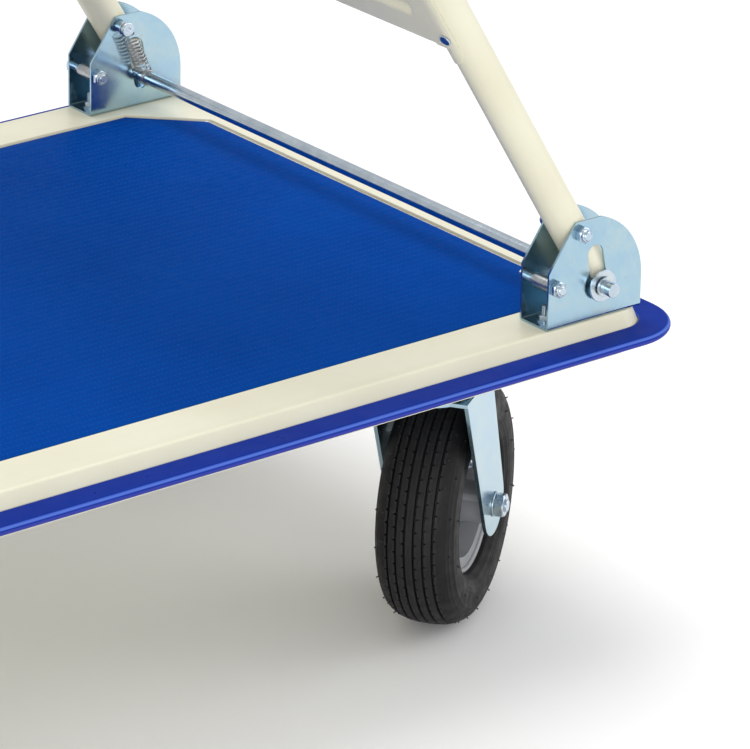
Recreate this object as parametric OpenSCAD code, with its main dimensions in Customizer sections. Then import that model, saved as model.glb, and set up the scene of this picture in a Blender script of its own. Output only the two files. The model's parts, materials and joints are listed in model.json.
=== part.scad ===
// Folding platform cart: a pressed steel deck on four pneumatic casters, with a
// tube handle that folds down onto the deck when its release rod is let go.
// +X points to the handle end, +Z up; the origin is on the floor under the
// deck's centre. All sizes are in millimetres.

/* [Deck] */
// Length of the deck over the bumper
deck_l = 1220; // [1000:10:1500]
// Width of the deck over the bumper
deck_w = 760; // [640:8:920]
// Width of the bumper's flat top
bumper_w = 29; // [24:1:36]
// Height of the bumper moulding
bumper_h = 8; // [7:0.5:10]
// Sheet thickness of the deck pan
pan_t = 2; // [1.5:0.1:2.5]
// Corner radius of the pan's top
pan_r = 24; // [18:1:32]
// Drop from the pan's top to the bumper's top
wall_drop = 13; // [10:1:18]
// How far the pan's wall leans out over that drop
wall_out = 4.5; // [2:0.5:6]
// Thickness of the deck mat
mat_t = 2.5; // [2:0.1:4]
// Depth of the mat's recess in the pan
recess_d = 3; // [3:0.1:4]
// Gap between the mat's edge and the recess wall
recess_gap = 4; // [2:0.5:6]
// Border left bare at each long side of the mat
mat_side = 54; // [50:1:70]
// Border left bare at each short side of the mat
mat_end = 24.5; // [20:0.5:40]
// Leg of the triangle cut off each mat corner
mat_cut = 55; // [55:1:80]

/* [Frame under the deck] */
// Depth of the side rails and cross members
rail_d = 38; // [30:1:60]
// Width of a side rail's flanges
rail_w = 45; // [44:1:46]
// Sheet thickness of the rails and cross members
rail_t = 2.5; // [2:0.5:4]
// Width of a cross member
cross_w = 130; // [130:1:150]
// Width of an end rail
end_w = 40; // [30:1:44]

/* [Handle bracket] */
// Length of the bracket along the deck
bracket_l = 103; // [98:1:115]
// Height of the bracket's side plates
bracket_h = 92; // [90:1:96]
// Sheet thickness of the bracket
bracket_t = 2; // [1.5:0.5:3]
// Height of the open end of the side plates
mouth_h = 50; // [46:1:56]
// Length of the sloping top edge at the open end
mouth_slope = 28; // [20:1:30]
// Radius of the side plates' rounded back
back_r = 66; // [64:1:68]
// Gap between the bracket's end and the pan's edge
bracket_inset = 3.5; // [1:0.5:8]
// Pivot bolt, from the bracket's open end
pivot_x = 34.7; // [32:0.1:38]
// Pivot bolt, above the deck
pivot_z = 80.9; // [78:0.1:83]
// Stop bolt, from the bracket's open end
stop_x = 8; // [7:0.5:10]
// Stop bolt, above the deck
stop_z = 38; // [34:1:40]
// Diameter of the pivot and stop bolts
bolt_d = 8; // [6:1:8]
// Width of the release rod's slot
slot_w = 17; // [13:0.5:20]
// Length of the slot between its end centres
slot_l = 35; // [30:1:36]
// Lean of the slot from upright
slot_lean = 11.5; // [8:0.5:14]
// Release rod at rest, from the bracket's open end
rod_x = 56.6; // [56:0.1:58]
// Release rod at rest, above the deck
rod_z = 30.3; // [29:0.1:32]
// Diameter of the release rod
rod_d = 12.5; // [9:0.1:15]

/* [Handle] */
// Outer diameter of the handle tube
tube_d = 32; // [28:1:34]
// Wall of the handle tube
tube_t = 2; // [1.5:0.5:3]
// Side play of the tube between the bracket's plates
tube_play = 0.3; // [0.3:0.1:1]
// Length from the pivot to the top bar's axis
handle_l = 640; // [560:10:760]
// Lean of the handle from upright towards the deck
handle_lean = 31.5; // [31:0.5:32]
// Bend radius of the handle's top corners
handle_bend = 90; // [60:5:120]
// Lower edge of the cross panel, from the pivot
panel_from = 228; // [200:1:260]
// Height of the cross panel
panel_h = 150; // [100:5:200]
// Sheet thickness of the cross panel
panel_t = 1.2; // [1:0.1:2]

/* [Casters] */
// Outer diameter of the tyre
tyre_d = 220; // [200:2:266]
// Width of the tyre
tyre_w = 72; // [64:1:74]
// Outer diameter of the rim's flanges
rim_d = 128; // [120:1:132]
// Width between the fork's legs
fork_gap = 81; // [81:1:90]
// Sheet thickness of the fork
fork_t = 3.5; // [3:0.5:5]
// Radius of the fork legs' rounded ends
fork_end_r = 28; // [24:1:32]
// Distance from the swivel axis back to the axle
trail = 60; // [50:1:80]
// Direction in which the rear casters trail
rest_heading = 34; // [0:1:60]
// Gap between the tyre and the fork's crown
crown_gap = 15; // [6:1:24]
// Thickness of the caster's mounting plate
plate_t = 4; // [3:0.5:6]
// Length of the mounting plate
plate_l = 134; // [134:1:140]
// Width of the mounting plate
plate_w = 110; // [104:1:112]
// Plate holes, spacing along the cart
holes_l = 105; // [96:1:110]
// Plate holes, spacing across the cart
holes_w = 80; // [72:1:84]
// Swivel axis, in from the pan's handle end
caster_end = 179; // [150:1:200]
// Swivel axis, in from the pan's side
caster_side = 68.5; // [66:0.5:72]
// Diameter of the axle
axle_d = 12; // [10:1:16]
// Diameter of the swivel bearing's balls
ball_d = 6; // [5:0.5:7]

/* [Hidden] */
// Radial clearance of a turning fit
run = 0.05;
// Radial clearance of a bolt in a punched hole
punch = 0.3;
// Clearance between pieces that pass each other
clear = 0.3;
// Small overshoot that keeps cuts clean
eps = 0.01;

// Heights, from the floor up
axle_z = tyre_d / 2;
crown_z = tyre_d + crown_gap;
crown_top = crown_z + fork_t;
race_gap = ball_d + 2.5;
plate_z = crown_top + race_gap;
frame_z = plate_z + plate_t;
border_z = frame_z + rail_d;
top_z = border_z + pan_t;
floor_z = top_z - recess_d;
bumper_top = top_z - wall_drop;
lip_t = 3;
flange_z = bumper_top - lip_t;

// Deck outline
pan_x = deck_l / 2 - bumper_w - wall_out;
pan_y = deck_w / 2 - bumper_w - wall_out;
core_x = pan_x - pan_r;
core_y = pan_y - pan_r;
edge_r = 3;
wall_foot = pan_r + wall_out * (wall_drop + lip_t) / wall_drop;
bumper_out = pan_r + wall_out + bumper_w;
flange_out = bumper_out - 9;
nose_r = bumper_h / 2;
mat_x = pan_x - mat_end;
mat_y = pan_y - mat_side;
rail_y = pan_y - pan_t - 1;
rail_in = rail_y - rail_w;
rail_x = core_x + 3;
end_x = mat_x + recess_gap - 1;

// Handle brackets
bracket_x0 = pan_x - bracket_inset - bracket_l;
tube_gap = tube_d + 2 * tube_play;
bracket_w = tube_gap + 2 * bracket_t;
bracket_y = pan_y - 1 - bracket_w / 2;
bend_r = 3;
back_z = mouth_h - 21;
base_bolts = [12, 88];
pivot = [bracket_x0 + pivot_x, 0, top_z + pivot_z];
rod = [bracket_x0 + rod_x, 0, top_z + rod_z];
rod_drop = norm([rod_x - pivot_x, rod_z - pivot_z]);
rod_angle = atan2(rod_x - pivot_x, pivot_z - rod_z);
tube_end = rod_drop - rod_d / 2 - clear;
slot_low = [rod_x + 1.1, rod_z - 5.4];
sleeve_r = 5.8;
sleeve_l = 24;
nut_af = 13;
nut_h = 8;
base_bolt_d = 6;
base_af = 10;
base_head = 4;
base_nut = 6;
base_reach = 14;
neck_r = 5;
neck_l = 8;
head_r = 6.8;
head_h = 3;
wire_r = 0.75;
coil_r = 7;
coil_turns = 9;
spring_y = bracket_y - bracket_w / 2 - coil_r - wire_r - 1.5;
washer_r = 14;
washer_t = 2;
washer_off = 3;
rod_end = 14;
clip_in = 12;
rod_half = bracket_y + bracket_w / 2 + washer_off + washer_t + rod_end;
clip_r = 8.5;
clip_t = 1.2;
groove_d = 1;

// Cross panel
panel_wrap = 34;
panel_tail = 18;
field_inset = 26;
field_depth = 4;
screw_r = 5;
screw_in = 8;

// Casters
king_x = pan_x - caster_end;
king_y = pan_y - caster_side;
crown_r = 43;
crown_back = 32;
crown_front = 43;
rigid_half = 40;
race_w = 6;
race_h = 2.5;
race_r = 32;
ball_n = 18;
king_r = 6;
king_nut_h = 7;
hub_w = 74;
bearing_w = 10;
bearing_r = 16;
hub_r = 18.5;
rim_t = 2;
seam = 0.05;
seat_r = rim_d / 2 - 12;
rim_half = tyre_w / 2 - 15;
rim_bolt_r = 40;
rim_bolt_n = 5;
rim_bolt_d = 8;
axle_af = 19;
axle_nut_h = 10;
fork_w = fork_gap + 2 * fork_t;
plate_bolt_d = 10;
plate_af = 16;
section_y = tyre_w / 2;
section_z = 26;
section_c = tyre_d / 2 - section_z;
wall_t = 6;
tube_wall = 1.5;
lip_r = 2.5;
tread_d = 3.5;
tread_w = 2;
tread_pitch = 8;

cream = [0.92, 0.91, 0.82];
blue = [0.0, 0.22, 0.58];
navy = [0.0, 0.14, 0.50];
zinc = [0.78, 0.84, 0.87];
steel = [0.66, 0.69, 0.71];
black = [0.12, 0.12, 0.13];
rim_grey = [0.62, 0.63, 0.64];

$fn = 48;

CASTERS = ["rear_left", "rear_right", "front_left", "front_right"];

// ---------------------------------------------------------------- helpers

// Points on an arc about c, from angle a to angle b
function arc(c, r, a, b, n = 8) =
    [for (i = [0:n]) c + r * [cos(a + (b - a) * i / n), sin(a + (b - a) * i / n)]];

// Angle at which the line from p touches the circle about c, on side s
function touch(c, r, p, s) = atan2(p[1] - c[1], p[0] - c[0]) + s * acos(r / norm(p - c));

function unit(v) = v / norm(v);

// Sweeps a profile, drawn outwards from the corner centres, around the deck
module around_deck() {
    for (a = [0, 180])
        rotate(a) {
            translate([core_x, 0, 0]) rotate([90, 0, 0])
                linear_extrude(2 * core_y, center = true) children();
            translate([core_x, core_y, 0]) rotate_extrude(angle = 90) children();
        }
    for (a = [90, 270])
        rotate(a) {
            translate([core_y, 0, 0]) rotate([90, 0, 0])
                linear_extrude(2 * core_x, center = true) children();
            translate([core_y, core_x, 0]) rotate_extrude(angle = 90) children();
        }
}

// Rod along Y about its own middle
module rod_y(r, l) {
    rotate([90, 0, 0]) cylinder(r = r, h = l, center = true);
}

// Six-sided prism of a given width across the flats, standing on z = 0
module hex(af, h) {
    cylinder(d = af / cos(30), h = h, $fn = 6);
}

// Hex nut with a locking collar on top and a bore
module lock_nut(af, h, bore) {
    difference() {
        union() {
            hex(af, h * 0.7);
            cylinder(d = af * 0.86, h = h);
        }
        translate([0, 0, -1]) cylinder(d = bore, h = h + 2);
    }
}

module at_brackets() {
    for (s = [-1, 1]) translate([bracket_x0, s * bracket_y, top_z]) children();
}

module at_casters() {
    for (x = [-king_x, king_x], y = [-king_y, king_y]) translate([x, y, 0]) children();
}

// ------------------------------------------------------------------- deck

function mat_outline(g) =
    let (x = mat_x + g, y = mat_y + g, c = mat_cut + g * (2 - sqrt(2)))
    [[x, c - y], [x, y - c], [x - c, y], [c - x, y],
     [-x, y - c], [-x, c - y], [c - x, -y], [x - c, -y]];

module pan_rim_profile() {
    foot = [wall_foot, flange_z];
    polygon(concat(
        [[0, top_z]],
        arc([pan_r - edge_r, top_z - edge_r], edge_r, 90, 18, 6),
        [foot, [flange_out, flange_z], [flange_out, flange_z - pan_t]],
        [foot - [pan_t, pan_t]],
        [[pan_r - pan_t, border_z - 1], [pan_r - pan_t - 1, border_z], [0, border_z]]));
}

module deck_pan() {
    color(cream) difference() {
        union() {
            around_deck() pan_rim_profile();
            difference() {
                translate([-core_x, -core_y, floor_z - pan_t])
                    cube([2 * core_x, 2 * core_y, top_z - floor_z + pan_t]);
                translate([0, 0, border_z - 2 * recess_d]) linear_extrude(2 * recess_d)
                    difference() {
                        square([2 * pan_x, 2 * pan_y], center = true);
                        polygon(mat_outline(recess_gap + pan_t));
                    }
            }
        }
        translate([0, 0, floor_z]) linear_extrude(2 * recess_d)
            polygon(mat_outline(recess_gap));
        bracket_bolt_holes();
    }
}

module deck_mat() {
    color(blue) translate([0, 0, floor_z]) linear_extrude(mat_t) polygon(mat_outline(0));
}

module bumper() {
    foot = wall_foot + clear;
    nose_x = bumper_out - nose_r;
    low = bumper_top - bumper_h;
    lip_in = flange_out - 9;
    color(navy) around_deck() polygon(concat(
        [[foot, bumper_top]],
        arc([nose_x, bumper_top - nose_r], nose_r, 90, -90, 12),
        [[lip_in, low], [lip_in, flange_z - pan_t], [flange_out, flange_z - pan_t]],
        [[flange_out, flange_z], [foot, flange_z]]));
}

// Channel along X with its web at the side given by s, open towards the middle
module side_rail(s) {
    translate([-rail_x, s > 0 ? rail_in : -rail_y, frame_z]) difference() {
        cube([2 * rail_x, rail_w, rail_d]);
        translate([-1, s > 0 ? -1 : rail_t, rail_t])
            cube([2 * rail_x + 2, rail_w - rail_t + 1, rail_d - 2 * rail_t]);
    }
}

module bracket_bolt_holes() {
    at_brackets() for (x = base_bolts)
        translate([x, 0, -rail_d - 2 * pan_t])
            cylinder(d = base_bolt_d + 2 * punch, h = rail_d + 4 * pan_t);
}

module plate_holes(z, h) {
    at_casters() for (x = [-1, 1] * holes_l / 2, y = [-1, 1] * holes_w / 2)
        translate([x, y, z]) cylinder(d = plate_bolt_d + 2 * punch, h = h);
}

module side_rails() {
    color(cream) difference() {
        for (s = [-1, 1]) side_rail(s);
        bracket_bolt_holes();
        plate_holes(frame_z - 1, rail_t + 2);
    }
}

module cross_members() {
    cross_h = floor_z - pan_t - frame_z;
    color(cream) difference() {
        for (x = [-king_x, 0, king_x])
            translate([x - cross_w / 2, -rail_in, frame_z]) difference() {
                cube([cross_w, 2 * rail_in, cross_h]);
                translate([rail_t, -1, rail_t])
                    cube([cross_w - 2 * rail_t, 2 * rail_in + 2, cross_h]);
            }
        plate_holes(frame_z - 1, rail_t + 2);
    }
}

module end_rails() {
    end_h = floor_z - pan_t - frame_z;
    color(cream) for (a = [0, 180]) rotate(a)
        translate([end_x - end_w, -rail_in, frame_z]) difference() {
            cube([end_w, 2 * rail_in, end_h]);
            translate([-1, -1, rail_t])
                cube([end_w - rail_t + 1, 2 * rail_in + 2, end_h - 2 * rail_t]);
        }
}

// --------------------------------------------------------------- brackets

module bracket_side() {
    difference() {
        intersection() {
            square([bracket_l, bracket_h]);
            union() {
                square([pivot_x, bracket_h]);
                square([bracket_l, back_z + 1]);
                translate([bracket_l - back_r, back_z]) circle(r = back_r, $fn = 96);
            }
        }
        polygon([[-1, mouth_h], [mouth_slope, bracket_h + eps], [-1, bracket_h + 1]]);
    }
}

// Folded section across the bracket, seen along its length
module bracket_section(w, r, h) {
    translate([-w / 2, r]) square([w, h]);
    translate([r - w / 2, 0]) square([w - 2 * r, h]);
    for (s = [-1, 1]) translate([s * (w / 2 - r), r]) circle(r = r);
}

module release_slot() {
    translate(slot_low) rotate(slot_lean) {
        circle(d = slot_w);
        translate([-slot_w / 2, 0]) square([slot_w, slot_l]);
        translate([0, slot_l]) circle(d = slot_w);
    }
}

module bracket(s) {
    color(zinc) translate([bracket_x0, s * bracket_y, top_z]) difference() {
        intersection() {
            rotate([90, 0, 0]) linear_extrude(bracket_w + 2, center = true) bracket_side();
            rotate([90, 0, 90]) linear_extrude(bracket_l) difference() {
                bracket_section(bracket_w, bend_r, bracket_h);
                translate([0, bracket_t])
                    bracket_section(tube_gap, bend_r - bracket_t, bracket_h);
            }
        }
        rotate([90, 0, 0]) linear_extrude(bracket_w + 2, center = true) release_slot();
        translate([pivot_x, 0, pivot_z]) rod_y(bolt_d / 2 + run, bracket_w + 2);
        translate([stop_x, 0, stop_z]) rod_y(bolt_d / 2 + run, bracket_w + 2);
        for (x = base_bolts) translate([x, 0, -1])
            cylinder(d = base_bolt_d + 2 * punch, h = bracket_t + 2);
    }
}

// Bolts up through rail, pan and bracket, with their heads under the rail
module bracket_bolts() {
    length = rail_d + pan_t + bracket_t + base_reach;
    color(zinc) at_brackets() for (x = base_bolts)
        translate([x, 0, frame_z - top_z]) {
            cylinder(d = base_bolt_d, h = length);
            translate([0, 0, -base_head]) hex(base_af, base_head);
            translate([0, 0, -base_head]) cylinder(d = base_af + 1, h = 1);
        }
}

module bracket_nuts() {
    color(zinc) at_brackets() for (x = base_bolts)
        translate([x, 0, bracket_t]) difference() {
            union() {
                cylinder(r = base_af * 0.62, h = 1.2);
                hex(base_af, base_nut);
            }
            translate([0, 0, -1]) cylinder(d = base_bolt_d + 2 * run, h = base_nut + 2);
        }
}

// Pivot bolts, with a long round head on the inner side for the spring
module pivot_bolts() {
    outer = bracket_w / 2 + nut_h + 1;
    color(zinc) for (s = [-1, 1]) translate([pivot[0], s * bracket_y, pivot[2]]) {
        rotate([s * 90, 0, 0]) {
            translate([0, 0, -outer]) cylinder(d = bolt_d, h = outer + bracket_w / 2);
            translate([0, 0, bracket_w / 2]) cylinder(r = neck_r, h = neck_l);
            translate([0, 0, bracket_w / 2 + neck_l]) cylinder(r = head_r, h = head_h);
        }
    }
}

module pivot_nuts() {
    color(zinc) for (s = [-1, 1])
        translate([pivot[0], s * (bracket_y + bracket_w / 2), pivot[2]])
            rotate([-s * 90, 0, 0]) lock_nut(nut_af, nut_h, bolt_d + 2 * run);
}

module stop_bolts() {
    color(zinc) at_brackets() translate([stop_x, 0, stop_z]) {
        rotate([90, 0, 0]) translate([0, 0, -bracket_w / 2])
            cylinder(d = bolt_d, h = bracket_w + nut_h + 1);
        rotate([-90, 0, 0]) translate([0, 0, bracket_w / 2]) hex(nut_af, 5);
    }
}

module stop_nuts() {
    color(zinc) at_brackets() translate([stop_x, -bracket_w / 2, stop_z])
        rotate([90, 0, 0]) lock_nut(nut_af, nut_h, bolt_d + 2 * run);
}

// Sleeves that the upright handle leans on
module stop_sleeves() {
    color(steel) at_brackets()
        translate([stop_x, -tube_gap / 2, stop_z]) rotate([-90, 0, 0]) difference() {
            cylinder(r = sleeve_r, h = sleeve_l);
            translate([0, 0, -1]) cylinder(d = bolt_d + 2 * run, h = sleeve_l + 2);
        }
}

// ------------------------------------------------------------ release rod

module release_rod() {
    groove = rod_half - clip_in;
    color(zinc) translate(rod) difference() {
        rod_y(rod_d / 2, 2 * rod_half);
        for (s = [-1, 1]) translate([0, s * groove, 0]) difference() {
            rod_y(rod_d / 2 + 1, clip_t + 2 * run);
            rod_y(rod_d / 2 - groove_d, clip_t + 1);
        }
    }
}

module rod_washers() {
    color(zinc) for (s = [-1, 1])
        translate(rod + [0, s * (rod_half - rod_end - washer_t / 2), 0]) difference() {
            rod_y(washer_r, washer_t);
            rod_y(rod_d / 2 + run, washer_t + 1);
        }
}

// Spring clips snapped into the rod's grooves
module rod_clips() {
    color(steel) for (s = [-1, 1]) translate(rod + [0, s * (rod_half - clip_in), 0])
        difference() {
            rod_y(clip_r, clip_t);
            rod_y(rod_d / 2 - groove_d + run, clip_t + 1);
            translate([0, -clip_t, -clip_r])
                cube([rod_d / 2 - 1.5 * groove_d, 2 * clip_t, clip_r]);
        }
}

// Centre line of a return spring: a hook over the pivot bolt's neck, the open
// coil, and turns wrapped round the rod; d runs from the pivot to the rod
hook_r = neck_r + wire_r + 0.3;
hook_y = 3.75;
wrap_r = rod_d / 2 + wire_r + 0.4;
coil_from = hook_r + 4;
coil_to = rod_drop - wrap_r - 3;
turn = 10;
wrap_turns = 2.5;
d_axis = [sin(rod_angle), 0, -cos(rod_angle)];
e_axis = [cos(rod_angle), 0, sin(rod_angle)];
function spring_path(s) = let (yy = [0, s, 0]) concat(
    [for (a = [200:-25:0]) hook_r * (cos(a) * e_axis - sin(a) * d_axis) + hook_y * yy],
    [for (i = [0:coil_turns * turn]) let (t = i / (coil_turns * turn), a = 360 * i / turn)
        d_axis * (coil_from + (coil_to - coil_from) * t)
        + coil_r * (cos(a) * e_axis + sin(a) * yy)],
    [for (i = [0:wrap_turns * turn]) let (a = 360 * i / turn)
        d_axis * rod_drop + wrap_r * (cos(a) * e_axis + sin(a) * d_axis)
        - yy * (i * 2.5 * wire_r / turn)]);

module wire(path, r) {
    sides = 6;
    n = len(path);
    dirs = [for (i = [0:n - 1])
        unit(path[min(i + 1, n - 1)] - path[max(i - 1, 0)])];
    ups = [for (i = 0, u = unit(cross(dirs[0], [0.3, 0.5, 0.8])); i < n;
            i = i + 1, u = i < n ? unit(u - (u * dirs[i]) * dirs[i]) : u) u];
    points = [for (i = [0:n - 1], k = [0:sides - 1]) let (a = 360 * k / sides)
        path[i] + r * (cos(a) * ups[i] + sin(a) * cross(dirs[i], ups[i]))];
    walls = [for (i = [0:n - 2], k = [0:sides - 1]) let (m = (k + 1) % sides)
        [i * sides + k, (i + 1) * sides + k, (i + 1) * sides + m, i * sides + m]];
    first = [for (k = [0:sides - 1]) k];
    last = [for (k = [sides - 1:-1:0]) (n - 1) * sides + k];
    polyhedron(points, concat(walls, [first, last]));
}

module return_springs() {
    color(steel) for (s = [-1, 1])
        translate([pivot[0], s * spring_y, pivot[2]]) wire(spring_path(s), wire_r);
}

// ----------------------------------------------------------------- handle

// Puts a shape drawn about the pivot, with the legs upright, in its place
module on_handle() {
    translate(pivot) rotate([0, -handle_lean, 0]) children();
}

module tube_ring() {
    difference() {
        circle(d = tube_d);
        circle(d = tube_d - 2 * tube_t);
    }
}

// The bent tube: two legs, two corners and the top bar
module bent_tube() {
    bend_z = handle_l - handle_bend;
    bend_y = bracket_y - handle_bend;
    for (s = [-1, 1]) translate([0, s * bracket_y, -tube_end - 2])
        linear_extrude(bend_z + tube_end + 2) tube_ring();
    translate([0, 0, handle_l]) rotate([90, 0, 0])
        linear_extrude(2 * bend_y, center = true) tube_ring();
    for (s = [0, 1]) mirror([0, s, 0]) translate([0, bend_y, bend_z])
        rotate([90, 0, 90]) rotate_extrude(angle = 90)
            translate([handle_bend, 0]) rotate(180) tube_ring();
}

module handle_tube() {
    color(cream) on_handle() difference() {
        bent_tube();
        // rounded end, on an arc about the pivot, that passes over the rod
        for (s = [-1, 1]) translate([0, s * bracket_y, 0]) difference() {
            translate([-tube_d, -tube_d, -2 * tube_end])
                cube([2 * tube_d, 2 * tube_d, 1.5 * tube_end]);
            rod_y(tube_end, 3 * tube_d);
        }
        rod_y(bolt_d / 2 + run, 3 * bracket_y);
        panel_screw_places() cylinder(r = 2, h = 6, center = true);
    }
}

module panel_screw_places() {
    for (s = [-1, 1], z = [12, panel_h - 12])
        translate([0, s * bracket_y, panel_from + z]) rotate(-s * screw_in)
            translate([-tube_d / 2, 0, 0]) rotate([0, -90, 0]) children();
}

// Pressed cross panel: a sheet between the legs with a sunk field, folded
// edges, and flanges that wrap onto the deck side of each leg
module handle_panel() {
    r_out = tube_d / 2 + panel_t;
    web_x = -r_out;
    half = bracket_y;
    field_y = half - field_inset - 6;
    color(cream) on_handle() difference() {
        union() {
            // side flanges round the tubes
            for (s = [-1, 1]) translate([0, s * bracket_y, panel_from - panel_tail])
                difference() {
                    cylinder(r = r_out, h = panel_h + 2 * panel_tail);
                    translate([0, 0, -1]) cylinder(d = tube_d, h = panel_h + 3 * panel_tail);
                    for (a = [s * panel_wrap, 0]) rotate(a)
                        translate([-2 * r_out, (a == 0 ? s > 0 : s < 0) ? -2 * r_out : 0, -1])
                            cube([4 * r_out, 2 * r_out, panel_h + 3 * panel_tail]);
                    translate([0, -2 * r_out, -1])
                        cube([2 * r_out, 4 * r_out, panel_h + 3 * panel_tail]);
                }
            // sheet, sunk field and top and bottom folds
            translate([web_x, -half, panel_from]) cube([panel_t, 2 * half, panel_h]);
            translate([web_x, -field_y - panel_t, panel_from + field_inset - panel_t])
                cube([field_depth + panel_t, 2 * (field_y + panel_t),
                      panel_h - 2 * (field_inset - panel_t)]);
            for (z = [panel_from, panel_from + panel_h - panel_t])
                translate([web_x, -half + tube_d / 2 + 1, z])
                    cube([12, 2 * half - tube_d - 2, panel_t]);
        }
        translate([web_x - 1, -field_y, panel_from + field_inset])
            cube([field_depth + 1, 2 * field_y, panel_h - 2 * field_inset]);
        panel_screw_places() cylinder(r = 2.2, h = 12, center = true);
    }
}

module panel_screws() {
    color(zinc) on_handle() panel_screw_places() {
        translate([0, 0, panel_t]) cylinder(r = screw_r, h = 2);
        translate([0, 0, -tube_t - 2]) cylinder(r = 2 - run, h = tube_t + 2 + panel_t + eps);
    }
}

// ---------------------------------------------------------------- casters

// Places of the wheels: swivel axis and, for the rear ones, the trailing side
module at_caster(name) {
    rear = name == "rear_left" || name == "rear_right";
    s = name == "rear_left" || name == "front_left" ? -1 : 1;
    translate([rear ? king_x : -king_x, s * king_y, 0])
        rotate(rear ? -s * rest_heading : 0) mirror([0, s > 0 ? 1 : 0, 0]) children();
}

module at_wheel(name) {
    rear = name == "rear_left" || name == "rear_right";
    at_caster(name) translate([rear ? trail : 0, 0, axle_z]) rotate([90, 0, 0]) children();
}

module caster_plate_shape() {
    translate([-plate_l / 2, -plate_w / 2, 0]) cube([plate_l, plate_w, plate_t]);
}

// Groove that the balls of the swivel bearing run in
module ball_track(r) {
    translate([0, 0, crown_top + race_gap / 2])
        rotate_extrude($fn = 96) translate([race_r, 0]) circle(r = r);
}

module swivel_plate(name) {
    s = name == "rear_left" ? -1 : 1;
    color(zinc) difference() {
        translate([king_x, s * king_y, plate_z]) union() {
            caster_plate_shape();
            translate([0, 0, -race_h]) cylinder(r = race_r + race_w, h = race_h + eps);
        }
        translate([king_x, s * king_y, 0]) {
            ball_track(ball_d / 2 + run);
            translate([0, 0, plate_z - race_h - 1])
                cylinder(r = king_r + run, h = plate_t + race_h + 2);
            translate([0, 0, plate_z - race_h - 1])
                cylinder(r = race_r - race_w, h = race_h + 1);
        }
        plate_holes(plate_z - 1, plate_t + 2);
    }
}

module kingpin(name) {
    s = name == "rear_left" ? -1 : 1;
    color(steel) translate([king_x, s * king_y, 0]) {
        translate([0, 0, crown_z - king_nut_h - 2])
            cylinder(r = king_r, h = frame_z - crown_z + king_nut_h + 2);
        translate([0, 0, crown_z - king_nut_h]) difference() {
            hex(axle_af, king_nut_h - clear);
            translate([0, 0, -1]) cylinder(r = king_r + run, h = king_nut_h + 2);
        }
    }
}

module balls(name) {
    color(steel) at_caster(name) for (i = [0:ball_n - 1]) rotate(i * 360 / ball_n)
        translate([race_r, 0, crown_top + race_gap / 2]) sphere(d = ball_d, $fn = 32);
}

// Outline of a fork leg: round end about the axle, tapering up to the crown
module fork_leg(axle, x0, x1, top) {
    a = [axle, axle_z];
    p0 = [x0, top];
    p1 = [x1, top];
    polygon(concat([p0],
        arc(a, fork_end_r, touch(a, fork_end_r, p0, 1), touch(a, fork_end_r, p1, -1) + 360, 24),
        [p1]));
}

module fork_legs(axle, x0, x1, top) {
    for (s = [-1, 1]) translate([0, s * (fork_gap + fork_t) / 2, 0]) rotate([90, 0, 0])
        linear_extrude(fork_t, center = true) fork_leg(axle, x0, x1, top);
}

module swivel_fork(name) {
    color(zinc) at_caster(name) difference() {
        union() {
            fork_legs(trail, -crown_back, crown_front, crown_top);
            translate([0, 0, crown_z]) intersection() {
                union() {
                    cylinder(r = crown_r, h = fork_t, $fn = 96);
                    translate([-crown_back, -fork_w / 2, 0])
                        cube([crown_back + crown_front, fork_w, fork_t]);
                }
                translate([-2 * crown_r, -fork_w / 2, 0])
                    cube([4 * crown_r, fork_w, fork_t]);
            }
            translate([0, 0, crown_top - eps]) difference() {
                cylinder(r = race_r + race_w, h = race_h);
                translate([0, 0, -1]) cylinder(r = race_r - race_w, h = race_h + 2);
            }
        }
        ball_track(ball_d / 2 + run);
        translate([0, 0, crown_z - 1]) cylinder(r = king_r + run, h = fork_t + 2);
        translate([trail, 0, axle_z]) rod_y(axle_d / 2 + run, fork_w + 2);
    }
}

module rigid_fork(name) {
    color(zinc) difference() {
        at_caster(name) {
            fork_legs(0, -rigid_half, rigid_half, frame_z);
            translate([0, 0, plate_z]) caster_plate_shape();
        }
        plate_holes(plate_z - 1, plate_t + 2);
        at_caster(name) translate([0, 0, axle_z]) rod_y(axle_d / 2 + run, fork_w + 2);
    }
}

module caster_bolts() {
    color(zinc) at_casters() for (x = [-1, 1] * holes_l / 2, y = [-1, 1] * holes_w / 2)
        translate([x, y, plate_z - 6]) {
            hex(plate_af, 6);
            cylinder(d = plate_bolt_d, h = 6 + plate_t + rail_t + 11);
        }
}

module caster_nuts() {
    color(zinc) at_casters() for (x = [-1, 1] * holes_l / 2, y = [-1, 1] * holes_w / 2)
        translate([x, y, frame_z + rail_t])
            lock_nut(plate_af, 9, plate_bolt_d + 2 * run);
}

// Axle bolt with its head on the inner side and its nut on the outer side
module axle(name) {
    half = fork_w / 2;
    color(zinc) at_wheel(name) {
        translate([0, 0, -half]) cylinder(d = axle_d, h = fork_w + axle_nut_h + 2);
        translate([0, 0, -half - 7.5]) hex(axle_af, 7.5);
        translate([0, 0, half]) difference() {
            union() {
                cylinder(d = axle_af + 3, h = 1.6);
                hex(axle_af, axle_nut_h);
            }
            translate([0, 0, -1]) cylinder(d = axle_d + 2 * run, h = axle_nut_h + 2);
        }
    }
}

module spacers(name) {
    color(steel) at_wheel(name) for (s = [0, 1]) mirror([0, 0, s])
        translate([0, 0, hub_w / 2 + 0.2]) difference() {
            cylinder(d = axle_d + 8, h = (fork_gap - hub_w) / 2 - 0.2);
            translate([0, 0, -1]) cylinder(r = axle_d / 2 + run, h = fork_gap);
        }
}

// Point on the tyre's section, a rounded box of half width a and half height b
function section(c, a, b, t) = let (e = 0.8)
    [c + b * sign(sin(t)) * pow(abs(sin(t)), e), a * sign(cos(t)) * pow(abs(cos(t)), e)];

function section_arc(c, a, b, from, to, n) =
    [for (i = [0:n]) section(c, a, b, from + (to - from) * i / n)];

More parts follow.
